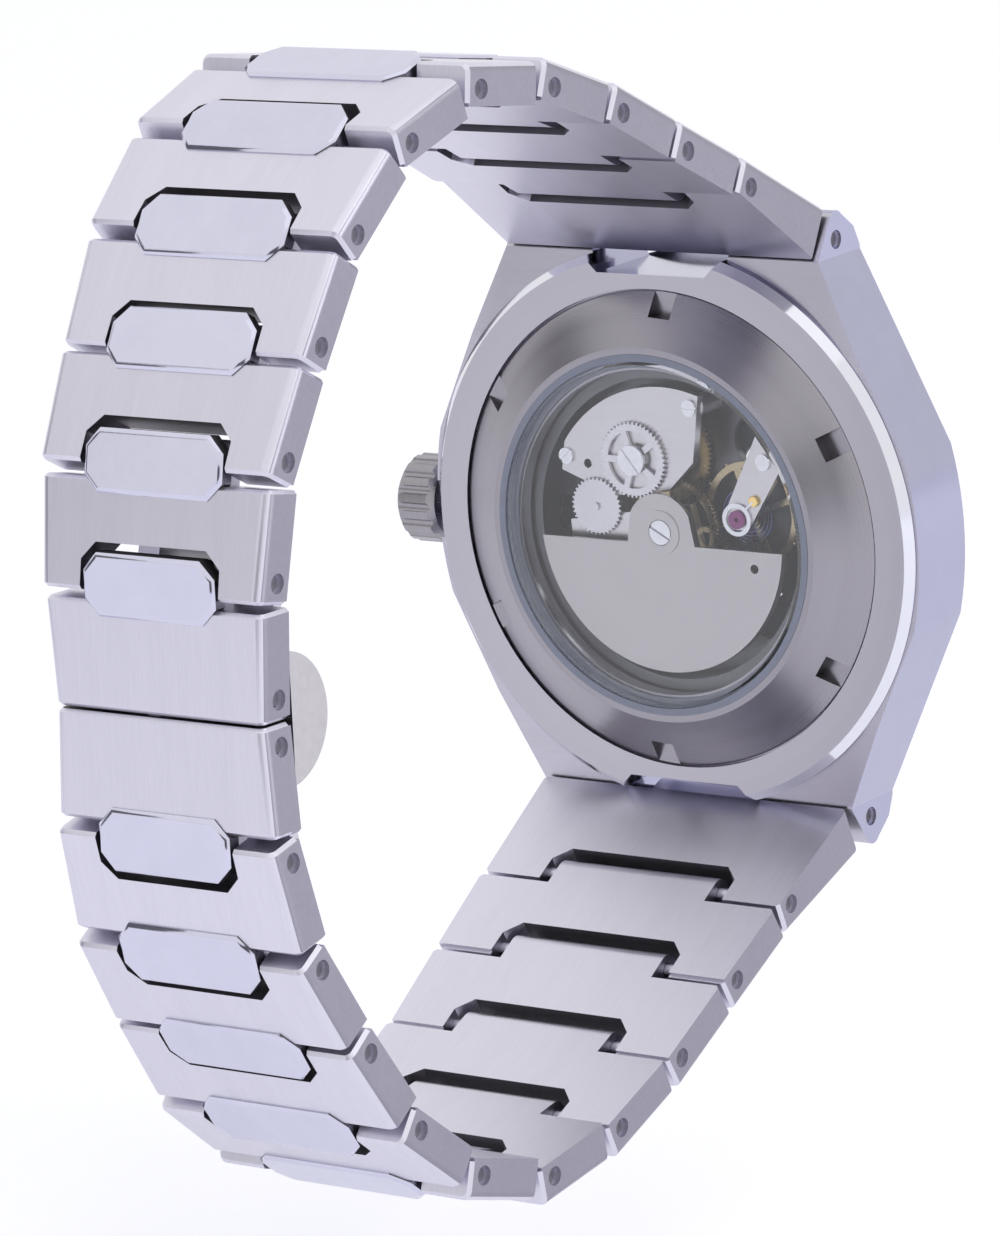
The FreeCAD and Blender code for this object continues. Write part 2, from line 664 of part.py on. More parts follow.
plate_blank = turned("plate_blank", [(0, -4.6), (plate_r, -4.6), (plate_r, -0.9),
                                     (11.5, -0.9), (11.5, -3.9), (0, -3.9)])
windows = [
    cylinder("plate_window_barrel", "2.6", "2", along_axis(3.2, 6.6, -5), AXIS_Y),
    cylinder("plate_window_left", "2.3", "2", along_axis(-6.6, 6.4, -5), AXIS_Y),
    cylinder("plate_window_low", "2.2", "2", along_axis(7.2, -5.4, -5), AXIS_Y),
    cylinder("plate_window_foot", "2.0", "2", along_axis(-6.4, -6.6, -5), AXIS_Y),
    cylinder("plate_window_base", "1.7", "2", along_axis(0.3, -8.6, -5), AXIS_Y),
    cylinder("plate_centre_bore", "0.75", "2", along_axis(0, 0, -5), AXIS_Y),
    box("plate_stem_slot", ("4", "1.5", "2.4"), V(10.9, crown_y - 0.75, -1.2)),
]
node(cut("main_plate", plate_blank, windows), "main_plate")


def pillars(name, places, low, high):
    """Round feet that stand a bridge on the main plate."""
    return [cylinder("%s_foot%d" % (name, number), "0.8", str(high - low),
                     along_axis(x, z, low), AXIS_Y) for number, (x, z) in enumerate(places)]


def make_bridge(name, outline, holes, feet, top, thickness):
    """Bridge: a flat plate on round feet."""
    plate = slab(name + "_plate", outline, top, thickness, holes)
    obj = fuse(name, [plate] + pillars(name, feet, -3.9, top - thickness + 0.1))
    return node(obj, name)


make_bridge("barrel_bridge",
            [(-3.4, 10.3), (8.9, 6.2, 3.6, 10.2), (9.3, 4.0), (4.6, 2.3), (-0.2, 2.9),
             (-2.6, 5.2)],
            [(BARREL[0], BARREL[1], 0.75), (6.9, 4.6, 0.35)],
            [(-2.6, 9.4), (8.75, 5.1)], -0.75, 0.75)
make_bridge("train_bridge",
            [(-2.1, 2.0), (8.8, 0.2), (8.6, -5.6), (3.4, -9.9, 6.7, -8.2), (-1.8, -10.2),
             (-4.4, -4.4), (-2.9, -1.6)],
            [(THIRD[0], THIRD[1], 0.35), (ESCAPE[0] + 0.15, ESCAPE[1], 0.35)],
            [(7.8, -4.6), (2.2, -9.0), (-1.6, -9.3)], -0.75, 0.75)
make_bridge("balance_cock",
            [(-5.4, 0.4), (-5.4, 2.0), (-8.3, 7.6), (-10.2, 5.0), (-7.2, 0.4)],
            [(BALANCE[0], BALANCE[1], 0.3)],
            [(-8.9, 5.7)], -0.7, 0.5)


def toothed(teeth, tip, root, thickness, bore):
    """Toothed disc about Y, from y = 0 up to its thickness."""
    points = []
    for tooth in range(teeth):
        for share, radius in ((0.0, root), (0.28, root), (0.42, tip), (0.72, tip), (0.86, root)):
            angle = 2 * math.pi * (tooth + share) / teeth
            points.append(V(radius * math.cos(angle), 0, radius * math.sin(angle)))
    points.append(points[0])
    blank = Part.Face(Part.makePolygon(points)).extrude(V(0, thickness, 0))
    if bore:
        blank = blank.cut(Part.makeCylinder(bore, 3 * thickness, V(0, -thickness, 0), AXIS_Y))
    return blank


def spoked(shape, arms, inner, outer, bar, thickness):
    """Takes windows out of a wheel and leaves a number of spokes."""
    ring = Part.makeCylinder(outer, 3 * thickness, V(0, -thickness, 0), AXIS_Y)
    ring = ring.cut(Part.makeCylinder(inner, 3 * thickness, V(0, -thickness, 0), AXIS_Y))
    for arm in range(arms):
        spoke = Part.makeBox(outer + 1, 3 * thickness, bar, V(0, -thickness, -bar / 2))
        spoke.rotate(V(0, 0, 0), AXIS_Y, 360.0 * arm / arms)
        ring = ring.cut(spoke)
    return shape.cut(ring)


def rod(radius, low, high, hole=0.0):
    shape = Part.makeCylinder(radius, high - low, V(0, low, 0), AXIS_Y)
    if hole:
        shape = shape.cut(Part.makeCylinder(hole, high - low + 2, V(0, low - 1, 0), AXIS_Y))
    return shape


def wheel(name, place, level, teeth, tip, arms, shaft, pinion=None, hole=0.0, thickness=0.22):
    """Train wheel: toothed rim on spokes, its arbor and, where it has one, its pinion."""
    disc = toothed(teeth, tip, tip - 0.16, thickness, hole)
    if arms:
        disc = spoked(disc, arms, 0.75, tip - 0.55, 0.4, thickness)
    disc.translate(V(0, level, 0))
    shape = disc.fuse(rod(shaft[0], shaft[1], shaft[2], hole))
    if pinion:
        leaves, radius, low, high = pinion
        gear = toothed(leaves, radius, radius - 0.14, high - low, hole)
        gear.translate(V(0, low, 0))
        shape = shape.fuse(gear)
    return node(solid(name, shape.removeSplitter(), FreeCAD.Placement(
        along_axis(place[0], place[1], 0), NO_TURN)), name)


def make_barrel():
    """Going barrel: toothed drum with its lid, hollow for the mainspring, with its arbor."""
    gear = toothed(84, 5.05, 4.85, 0.3, 0)
    gear.translate(V(0, -3.6, 0))
    shape = gear.fuse(rod(4.6, -3.6, -2.55)).cut(rod(4.3, -3.45, -2.7))
    shape = shape.cut(rod(0.65, -4, -1))
    coil = rod(4.0, -3.4, -2.75, 1.3)
    arbor = rod(0.6, -3.85, -1.15).fuse(rod(1.2, -3.4, -2.75))
    return shape, coil, arbor


barrel_shape, spring_shape, arbor_shape = make_barrel()
barrel_place = FreeCAD.Placement(along_axis(BARREL[0], BARREL[1], 0), NO_TURN)
node(group("barrel", [solid("barrel_drum", barrel_shape, barrel_place),
                      solid("mainspring", spring_shape, barrel_place)]), "barrel")
ratchet = spoked(toothed(48, 2.9, 2.72, 0.3, 0), 5, 1.0, 2.2, 0.5, 0.3)
ratchet.translate(V(0, -0.7, 0))
ratchet = ratchet.fuse(arbor_shape).fuse(rod(0.7, -1.2, -0.3)).cut(
    Part.makeBox(1.6, 0.2, 0.22, V(-0.8, -0.45, -0.11)))
node(solid("ratchet_wheel", ratchet, barrel_place), "ratchet_wheel")

wheel("centre_wheel", (0, 0), -2.47, 80, 3.5, 4, (0.54, -6.55, -2.2),
      (12, 0.7, -3.65, -3.2), hole=0.3)
wheel("third_wheel", THIRD, -2.02, 75, 3.4, 4, (0.15, -3.85, -0.85), (10, 0.42, -2.55, -2.15))
wheel("fourth_wheel", (0, 0), -1.76, 70, 3.75, 4, (0.24, -7.0, -1.55), (10, 0.45, -2.08, -1.76))
wheel("escape_wheel", ESCAPE, -3.3, 15, 1.95, 4, (0.12, -3.85, -0.85),
      (7, 0.38, -1.85, -1.54), thickness=0.2)

fork = Part.makeBox(0.36, 0.2, 1.5, V(-0.18, 0, 0.1))
fork = fork.fuse(Part.makeBox(2.6, 0.2, 0.34, V(-1.3, 0, -0.17)))
for hand in (-1, 1):
    fork = fork.fuse(Part.makeBox(0.3, 0.2, 0.5, V(hand * 1.15 - 0.15, 0, -0.55)))
    fork = fork.fuse(Part.makeBox(0.16, 0.2, 0.3, V(hand * 0.26 - 0.08, 0, 1.5)))
fork = fork.fuse(Part.makeBox(0.6, 0.2, 0.14, V(-0.3, 0, 1.46)))
fork.translate(V(0, -3.3, 0))
fork = fork.fuse(rod(0.13, -3.85, -3.02))
fork_turn = math.degrees(math.atan2(BALANCE[0] - PALLET[0], BALANCE[1] - PALLET[1]))
node(solid("pallet_fork", fork, FreeCAD.Placement(
    along_axis(PALLET[0], PALLET[1], 0), FreeCAD.Rotation(AXIS_Y, fork_turn))), "pallet_fork")

balance = rod(4.0, -2.95, -2.6, 3.5)
for turn in (0, 90):
    bar = Part.makeBox(7.2, 0.25, 0.5, V(-3.6, -2.95, -0.25))
    bar.rotate(V(0, 0, 0), AXIS_Y, turn + 20)
    balance = balance.fuse(bar)
balance = balance.fuse(rod(0.14, -3.85, -0.8)).fuse(rod(0.45, -3.3, -2.9))
for screw in range(12):
    angle = 2 * math.pi * screw / 12
    head = Part.makeCylinder(0.16, 0.22, V(3.98 * math.cos(angle), -2.77, 3.98 * math.sin(angle)),
                             V(math.cos(angle), 0, math.sin(angle)))
    balance = balance.fuse(head)
balance_place = FreeCAD.Placement(along_axis(BALANCE[0], BALANCE[1], 0), NO_TURN)
node(solid("balance_wheel", balance, balance_place), "balance_wheel")

hairspring = rod(0.4, -2.3, -2.0, 0.16)
for coil in range(6):
    hairspring = hairspring.fuse(rod(0.75 + 0.28 * coil, -2.25, -2.05, 0.69 + 0.28 * coil))
hairspring = hairspring.fuse(Part.makeBox(1.9, 0.2, 0.1, V(0.3, -2.25, -0.05)))
node(solid("hairspring", hairspring, balance_place), "hairspring")

JEWELS = [(THIRD[0], THIRD[1], -0.78), (ESCAPE[0], ESCAPE[1], -0.78),
          (BALANCE[0], BALANCE[1], -0.72), (THIRD[0], THIRD[1], -3.93),
          (PALLET[0], PALLET[1], -3.93), (BALANCE[0], BALANCE[1], -3.93)]
jewels = []
for number, (x, z, top) in enumerate(JEWELS):
    jewels.append(solid("jewel%d" % number, rod(0.7, top + 0.01, top + 0.2, 0.17),
                        FreeCAD.Placement(along_axis(x, z, 0.05 if top > -3 else 0.02), NO_TURN)))
node(group("jewels", jewels), "jewels")

SCREWS = [(-2.6, 9.4, -0.75), (8.75, 5.1, -0.75), (7.8, -4.6, -0.75), (2.2, -9.0, -0.75),
          (-1.6, -9.3, -0.75), (-8.9, 5.7, -0.7)]
screws = []
for number, (x, z, top) in enumerate(SCREWS):
    head = rod(0.62, top, top + 0.22).cut(
        Part.makeBox(1.4, 0.2, 0.2, V(-0.7, top + 0.1, -0.1)))
    screws.append(solid("movement_screw%d" % number, head, FreeCAD.Placement(
        along_axis(x, z, 0), FreeCAD.Rotation(AXIS_Y, 40 * number))))
node(group("movement_screws", screws), "movement_screws")

wheel("reversing_wheel", REVERSER, -0.7, 36, 2.2, 0, (0.3, -0.74, -0.3), thickness=0.22)

# ---------------------------------------------------------------- winding rotor
rotor_r = dim("rotor_radius")
rotor_plate = slab("rotor_plate",
                   [(-rotor_r, -0.9), (rotor_r, -0.9, 0, -rotor_r), (3.0, -0.9), (2.6, 1.4),
                    (-2.6, 1.4, 0, 2.95), (-3.0, -0.9)],
                   0.35, 0.3, holes=[(0, 0, 1.7), (-8.2, -2.2, 0.35)])
rotor_weight = slab("rotor_weight",
                    [(-rotor_r, -1.0), (rotor_r, -1.0, 0, -rotor_r), (9.1, -1.0),
                     (-9.1, -1.0, 0, -9.15)], 0.05, 0.45)
node(group("rotor", [rotor_plate, rotor_weight,
                     solid("rotor_race", rod(1.7, -0.2, 0.42, 1.0))]), "rotor")

# ---------------------------------------------------------------- dial side
dial_blank = doc.addObject("PartDesign::Body", "dial_blank")
pad(dial_blank, "dial_pad", "XZ_Plane", 4.95, ring_points(15.0), "0.35",
    holes=[(0, 5.4, 3.2), (4.9, -3.4, 2.9), (-4.9, -3.4, 2.9), (0, 0, 1.0),
           (6.4, 3.9, 2.3), (-6.4, 3.9, 2.3), (0, -7.4, 2.3)])
node(dial_blank, "dial")
node(turned("chapter_ring", [(13.4, -5.32), (15.05, -5.32), (15.05, -7.1), (14.6, -7.1)]),
     "chapter_ring")
markers = []
for hour in range(12):
    length = 2.2 if hour % 3 else 2.6
    marker = Part.makeBox(0.7, 0.35, length, V(-0.35, -5.65, 13.1 - length))
    marker.rotate(V(0, 0, 0), AXIS_Y, 30 * hour)
    markers.append(solid("marker%02d" % hour, marker))
node(group("hour_markers", markers), "hour_markers")


def hand_shape(length, width, tail, bore, boss, low, thickness, open_middle=True):
    """Baton hand with a pointed tip, a tail and a round boss."""
    outline = [V(-width / 2, low, -tail), V(width / 2, low, -tail),
               V(width / 2, low, length - width), V(0, low, length),
               V(-width / 2, low, length - width), V(-width / 2, low, -tail)]
    shape = Part.Face(Part.makePolygon(outline)).extrude(V(0, thickness, 0))
    shape = shape.fuse(rod(boss, low, low + thickness))
    if open_middle:
        slot = Part.makeBox(width * 0.45, thickness * 3, length * 0.45,
                            V(-width * 0.225, low - thickness, length * 0.28))
        shape = shape.cut(slot)
    return shape.cut(rod(bore, low - 1, low + 1))


hour_hand = hand_shape(8.0, 1.3, 2.0, 0.9, 1.3, -6.05, 0.2)
hour_hand = hour_hand.fuse(rod(1.0, -6.05, -5.0, 0.62))
minute_hand = hand_shape(12.2, 1.1, 2.4, 0.55, 1.1, -6.5, 0.18)
seconds_hand = hand_shape(12.6, 0.3, 4.0, 0.24, 0.6, -6.95, 0.12, open_middle=False)
# The hands rest at eight minutes past ten.
for label, hand, angle in (("hour_hand", hour_hand, 304), ("minute_hand", minute_hand, 48),
                           ("seconds_hand", seconds_hand, 212)):
    node(solid(label, hand, FreeCAD.Placement(V(0, 0, 0), FreeCAD.Rotation(AXIS_Y, angle))), label)

# ---------------------------------------------------------------- checks and files
doc.recompute()
for item in doc.Objects:
    if "Invalid" in item.State or "Error" in item.State:
        raise RuntimeError("%s failed: %s" % (item.Name, item.State))
for item in nodes:
    if item.Shape.isNull() or not item.Shape.isValid() or not item.Shape.Solids:
        raise RuntimeError("%s has no valid solid" % item.Label)
for item in nodes:
    item.Shape.exportStep("parts/%s.step" % item.Label)
print("seam", round(seam_y, 3), round(seam_z, 3), "heading", round(line_heading, 3),
      "pins from the seam", round(seam_reach, 3))
print(len(nodes), "sub-parts written")
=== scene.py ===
import json
import math

import bmesh
import bpy
import numpy as np
from mathutils import Matrix, Vector


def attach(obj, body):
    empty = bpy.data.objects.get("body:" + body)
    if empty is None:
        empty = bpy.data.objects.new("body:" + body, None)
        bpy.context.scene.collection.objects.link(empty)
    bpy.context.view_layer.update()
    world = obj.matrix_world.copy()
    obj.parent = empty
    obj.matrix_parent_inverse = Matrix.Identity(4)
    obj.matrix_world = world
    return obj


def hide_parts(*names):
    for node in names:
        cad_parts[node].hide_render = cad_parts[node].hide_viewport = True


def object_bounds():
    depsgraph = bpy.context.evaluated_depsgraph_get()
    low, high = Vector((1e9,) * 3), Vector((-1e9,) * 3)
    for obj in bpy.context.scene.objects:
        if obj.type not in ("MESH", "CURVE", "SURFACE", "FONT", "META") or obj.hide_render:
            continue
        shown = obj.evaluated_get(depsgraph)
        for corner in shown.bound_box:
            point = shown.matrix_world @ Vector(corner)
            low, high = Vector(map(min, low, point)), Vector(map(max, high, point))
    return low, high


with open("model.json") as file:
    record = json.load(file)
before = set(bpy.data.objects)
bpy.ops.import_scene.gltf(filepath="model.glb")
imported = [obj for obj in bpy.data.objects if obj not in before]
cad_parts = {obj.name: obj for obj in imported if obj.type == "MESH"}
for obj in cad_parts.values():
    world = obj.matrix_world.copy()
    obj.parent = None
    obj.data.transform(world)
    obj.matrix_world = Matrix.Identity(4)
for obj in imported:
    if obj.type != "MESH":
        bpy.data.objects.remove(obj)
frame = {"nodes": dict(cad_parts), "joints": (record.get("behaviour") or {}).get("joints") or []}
nodes = frame["nodes"]
cad_box = [list(corner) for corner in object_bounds()]

# ---------------------------------------------------------------- camera
# The watch is seen from behind and from the nine o'clock side, a little from above, with a slight
# roll, from about half a metre away.
camera_place = Vector((-0.2686, 0.3881, 0.1062))
camera_look = Vector((0.5753, -0.7846, -0.2309)).normalized()
camera_right = Vector((-0.8143, -0.5759, -0.0720))
camera_right = (camera_right - camera_look * camera_right.dot(camera_look)).normalized()
camera_up = camera_right.cross(camera_look)
lens = bpy.data.cameras.new("watch_camera")
lens.sensor_width = 36.0
lens.lens = 189.3
lens.clip_start = 0.01
lens.clip_end = 20.0
camera = bpy.data.objects.new("watch_camera", lens)
bpy.context.scene.collection.objects.link(camera)
camera.matrix_world = Matrix((
    (camera_right.x, camera_up.x, -camera_look.x, camera_place.x),
    (camera_right.y, camera_up.y, -camera_look.y, camera_place.y),
    (camera_right.z, camera_up.z, -camera_look.z, camera_place.z),
    (0, 0, 0, 1)))
bpy.context.scene.camera = camera

# ---------------------------------------------------------------- studio
# A white table and a white tent. Two soft boxes give the polished faces their bright edges, and two
# grey cards give them something darker to reflect.
def seen_or_mirrored(tree):
    """Socket that is 1 for rays from the camera, from a mirror and through glass."""
    path = tree.nodes.new("ShaderNodeLightPath")
    total = path.outputs["Is Camera Ray"]
    for kind in ("Is Glossy Ray", "Is Transmission Ray"):
        larger = tree.nodes.new("ShaderNodeMath")
        larger.operation = "MAXIMUM"
        tree.links.new(total, larger.inputs[0])
        tree.links.new(path.outputs[kind], larger.inputs[1])
        total = larger.outputs[0]
    return total


def object_from(name, shape, *materials):
    """Object made from a finished bmesh, which it frees."""
    data = bpy.data.meshes.new(name)
    shape.to_mesh(data)
    shape.free()
    for item in materials:
        data.materials.append(item)
    made = bpy.data.objects.new(name, data)
    bpy.context.scene.collection.objects.link(made)
    return made


view = bpy.context.scene.view_settings
view.view_transform = "Standard"
world = bpy.data.worlds.new("white_tent")
bpy.context.scene.world = world
world.use_nodes = True
sky = world.node_tree
sky.nodes.clear()
sky_out = sky.nodes.new("ShaderNodeOutputWorld")
sky_mix = sky.nodes.new("ShaderNodeMixShader")
sky_soft = sky.nodes.new("ShaderNodeBackground")
sky_white = sky.nodes.new("ShaderNodeBackground")
sky_soft.inputs["Color"].default_value = (0.90, 0.91, 1.0, 1)
sky_soft.inputs["Strength"].default_value = 0.62
sky_white.inputs["Color"].default_value = (1, 1, 1, 1)
sky_white.inputs["Strength"].default_value = 1.0
sky.links.new(seen_or_mirrored(sky), sky_mix.inputs[0])
sky.links.new(sky_soft.outputs[0], sky_mix.inputs[1])
sky.links.new(sky_white.outputs[0], sky_mix.inputs[2])
sky.links.new(sky_mix.outputs[0], sky_out.inputs[0])

paper = bpy.data.materials.new("white_paper")
paper.use_nodes = True
paper_shader = paper.node_tree.nodes["Principled BSDF"]
paper_shader.inputs["Base Color"].default_value = (0.86, 0.86, 0.88, 1)
paper_shader.inputs["Roughness"].default_value = 0.9
paper_shader.inputs["Emission Color"].default_value = (1, 1, 1, 1)
paper_lift = paper.node_tree.nodes.new("ShaderNodeMath")
paper_lift.operation = "MULTIPLY"
paper_lift.inputs[1].default_value = 0.45
paper.node_tree.links.new(seen_or_mirrored(paper.node_tree), paper_lift.inputs[0])
paper.node_tree.links.new(paper_lift.outputs[0], paper_shader.inputs["Emission Strength"])

# The lower half of the bracelet drops 8.2 mm when the clasp is opened, so the table clears that.
table_gap = 0.009
table_shape = bmesh.new()
bmesh.ops.create_grid(table_shape, x_segments=1, y_segments=1, size=3.0,
                      matrix=Matrix.Translation((0, 0, cad_box[0][2] - table_gap)))
object_from("table_top", table_shape, paper)


def soft_box(name, place, target, width, height, power):
    """Area lamp of that size that faces the target."""
    lamp = bpy.data.lights.new(name, "AREA")
    lamp.shape = "RECTANGLE"
    lamp.size = width
    lamp.size_y = height
    lamp.energy = power
    shown = bpy.data.objects.new(name, lamp)
    bpy.context.scene.collection.objects.link(shown)
    shown.location = place
    shown.rotation_euler = (Vector(target) - Vector(place)).to_track_quat("-Z", "Y").to_euler()


soft_box("high_box", (-0.25, 0.15, 0.75), (0, 0.02, 0), 0.9, 0.7, 0.35)
soft_box("side_box", (-0.75, -0.15, 0.20), (0, 0, 0), 0.4, 0.6, 2.2)


def grey_card(name, place, target, size, shade):
    """Card that only reflections see."""
    card_mesh = bmesh.new()
    turn = (Vector(target) - Vector(place)).to_track_quat("Z", "Y").to_matrix().to_4x4()
    bmesh.ops.create_grid(card_mesh, x_segments=1, y_segments=1, size=size,
                          matrix=Matrix.Translation(place) @ turn)
    coat = bpy.data.materials.new(name)
    coat.use_nodes = True
    coat_shader = coat.node_tree.nodes["Principled BSDF"]
    coat_shader.inputs["Base Color"].default_value = (shade, shade, shade, 1)
    coat_shader.inputs["Roughness"].default_value = 1.0
    card = object_from(name, card_mesh, coat)
    card.visible_camera = False
    card.visible_shadow = False
    card.visible_diffuse = False


grey_card("low_card", (-0.10, 0.55, -0.02), (0, 0.02, 0), 0.16, 0.16)
grey_card("far_card", (0.55, 0.35, 0.10), (0, 0.03, 0), 0.22, 0.22)


# ---------------------------------------------------------------- links of the bracelet
# Each link is milled from steel bar, with softly rounded outer edges. The body is brushed along the
# bracelet, the raised middle cap is polished, and the cross pin shows in each side.
def grain_group():
    """Brushing: fine lines and slow cloudiness, from a place already stretched along the lines."""
    tree = bpy.data.node_groups.new("brushed_grain", "ShaderNodeTree")
    face = tree.interface
    face.new_socket("Place", in_out="INPUT", socket_type="NodeSocketVector")
    for label, value in (("Depth", 0.5), ("Roughness", 0.3), ("Spread", 0.08)):
        face.new_socket(label, in_out="INPUT", socket_type="NodeSocketFloat").default_value = value
    face.new_socket("Light", in_out="INPUT", socket_type="NodeSocketColor")
    face.new_socket("Dark", in_out="INPUT", socket_type="NodeSocketColor")
    face.new_socket("Color", in_out="OUTPUT", socket_type="NodeSocketColor")
    face.new_socket("Roughness", in_out="OUTPUT", socket_type="NodeSocketFloat")
    face.new_socket("Height", in_out="OUTPUT", socket_type="NodeSocketFloat")
    source = tree.nodes.new("NodeGroupInput")
    result = tree.nodes.new("NodeGroupOutput")
    lines = tree.nodes.new("ShaderNodeTexNoise")
    lines.inputs["Scale"].default_value = 1.0
    lines.inputs["Detail"].default_value = 5.0
    lines.inputs["Roughness"].default_value = 0.7
    cloud = tree.nodes.new("ShaderNodeTexNoise")
    cloud.inputs["Scale"].default_value = 0.05
    cloud.inputs["Detail"].default_value = 2.0
    blend = tree.nodes.new("ShaderNodeMix")
    blend.data_type = "FLOAT"
    blend.inputs["Factor"].default_value = 0.35
    tint = tree.nodes.new("ShaderNodeMix")
    tint.data_type = "RGBA"
    wide = tree.nodes.new("ShaderNodeMath")
    wide.operation = "MULTIPLY_ADD"
    deep = tree.nodes.new("ShaderNodeMath")
    deep.operation = "MULTIPLY"
    join = tree.links.new
    join(source.outputs["Place"], lines.inputs["Vector"])
    join(source.outputs["Place"], cloud.inputs["Vector"])
    join(lines.outputs["Fac"], blend.inputs["A"])
    join(cloud.outputs["Fac"], blend.inputs["B"])
    join(blend.outputs["Result"], tint.inputs["Factor"])
    join(source.outputs["Dark"], tint.inputs["A"])
    join(source.outputs["Light"], tint.inputs["B"])
    join(tint.outputs["Result"], result.inputs["Color"])
    join(blend.outputs["Result"], wide.inputs[0])
    join(source.outputs["Spread"], wide.inputs[1])
    join(source.outputs["Roughness"], wide.inputs[2])
    join(wide.outputs[0], result.inputs["Roughness"])
    join(lines.outputs["Fac"], deep.inputs[0])
    join(source.outputs["Depth"], deep.inputs[1])
    join(deep.outputs[0], result.inputs["Height"])
    return tree


brushed_grain = grain_group()


def steel(name, stretch, light, dark, roughness, spread=0.08, depth=0.4, bump=0.00001,
          round_about=None):
    """Metal whose lines run where the stretch is small; round_about makes them circles."""
    made = bpy.data.materials.new(name)
    made.use_nodes = True
    tree = made.node_tree
    shader = tree.nodes["Principled BSDF"]
    shader.inputs["Metallic"].default_value = 1.0
    where = tree.nodes.new("ShaderNodeTexCoord")
    grain = tree.nodes.new("ShaderNodeGroup")
    grain.node_tree = brushed_grain
    place = tree.nodes.new("ShaderNodeMapping")
    if round_about is None:
        place.inputs["Scale"].default_value = stretch
        tree.links.new(where.outputs["Object"], place.inputs["Vector"])
        tree.links.new(place.outputs["Vector"], grain.inputs["Place"])
    else:
        place.inputs["Location"].default_value = (-round_about[0], 0, -round_about[1])
        place.inputs["Scale"].default_value = (1, 0, 1)
        span = tree.nodes.new("ShaderNodeVectorMath")
        span.operation = "LENGTH"
        fine = tree.nodes.new("ShaderNodeMath")
        fine.operation = "MULTIPLY"
        fine.inputs[1].default_value = stretch
        stack = tree.nodes.new("ShaderNodeCombineXYZ")
        tree.links.new(where.outputs["Object"], place.inputs["Vector"])
        tree.links.new(place.outputs["Vector"], span.inputs[0])
        tree.links.new(span.outputs["Value"], fine.inputs[0])
        tree.links.new(fine.outputs[0], stack.inputs["X"])
        tree.links.new(stack.outputs[0], grain.inputs["Place"])
    grain.inputs["Light"].default_value = (*light, 1)
    grain.inputs["Dark"].default_value = (*dark, 1)
    grain.inputs["Roughness"].default_value = roughness
    grain.inputs["Spread"].default_value = spread
    grain.inputs["Depth"].default_value = depth
    relief = tree.nodes.new("ShaderNodeBump")
    relief.inputs["Distance"].default_value = bump
    relief.inputs["Strength"].default_value = 0.6
    tree.links.new(grain.outputs["Color"], shader.inputs["Base Color"])
    tree.links.new(grain.outputs["Roughness"], shader.inputs["Roughness"])
    tree.links.new(grain.outputs["Height"], relief.inputs["Height"])
    tree.links.new(relief.outputs["Normal"], shader.inputs["Normal"])
    return made


def faces_of(piece):
    """Middle points in millimetres and normals of a mesh's faces."""
    count = len(piece.data.polygons)
    middle = np.zeros(count * 3)
    normal = np.zeros(count * 3)
    piece.data.polygons.foreach_get("center", middle)
    piece.data.polygons.foreach_get("normal", normal)
    return middle.reshape(-1, 3) * 1000, normal.reshape(-1, 3)


def dress(name, materials, choice=None):
    """Gives a CAD node its materials, face by face, and smooths its curved faces."""
    piece = nodes[name]
    piece.data.materials.clear()
    for item in materials:
        piece.data.materials.append(item)
    count = len(piece.data.polygons)
    index = np.zeros(count, np.int32) if choice is None else np.asarray(choice, np.int32)
    piece.data.polygons.foreach_set("material_index", index)
    piece.data.polygons.foreach_set("use_smooth", np.ones(count, bool))
    weld = piece.modifiers.new("weld", "WELD")
    weld.merge_threshold = 0.000001
    split = piece.modifiers.new("sharp_edges", "EDGE_SPLIT")
    split.split_angle = math.radians(24)
    return piece


link_brushed = steel("link_brushed", (9000, 350, 350), (0.80, 0.78, 0.88), (0.58, 0.57, 0.65), 0.30,
                     spread=0.12)
link_side = steel("link_side", (900, 2600, 2600), (0.36, 0.35, 0.41), (0.26, 0.25, 0.30), 0.32)
link_polished = steel("link_polished", (260, 260, 260), (0.70, 0.70, 0.83), (0.55, 0.55, 0.67),
                      0.10, spread=0.06, depth=1.0, bump=0.00002)
pin_end = steel("pin_end", (2000, 2000, 2000), (0.30, 0.29, 0.32), (0.16, 0.155, 0.17), 0.25)
# Painted shade: this dark steel stands in for the shadow that falls in the gaps and on the notch
# walls between the links.
painted_gap_shade = steel("painted_gap_shade", (1500, 1500, 1500), (0.20, 0.19, 0.21), (0.11, 0.105, 0.115), 0.45)


def soften(shape, edges, offset, segments):
    """Rounds those of the edges that are still there."""
    bmesh.ops.bevel(shape, geom=[edge for edge in edges if edge.is_valid], offset=offset,
                    offset_type="OFFSET", segments=segments, profile=0.5, affect="EDGES",
                    clamp_overlap=True, material=-1)


links_per_side = 11
clasp_gap = 7.9
pin_places = {"upper": {}, "lower": {}}
for joint in frame["joints"]:
    for side in pin_places:
        if joint["name"].startswith(side + "_hinge_"):
            pin_places[side][int(joint["name"][-2:])] = Vector(joint["pos_m"]) * 1000
    if joint["name"] == "clasp_fold":
        pin_places["upper"][links_per_side + 1] = Vector(joint["pos_m"]) * 1000
last_upper = pin_places["upper"][links_per_side]
last_lower = pin_places["lower"][links_per_side]
closing = (last_upper - last_lower).normalized()
pin_places["lower"][links_per_side + 1] = last_lower + closing * clasp_gap

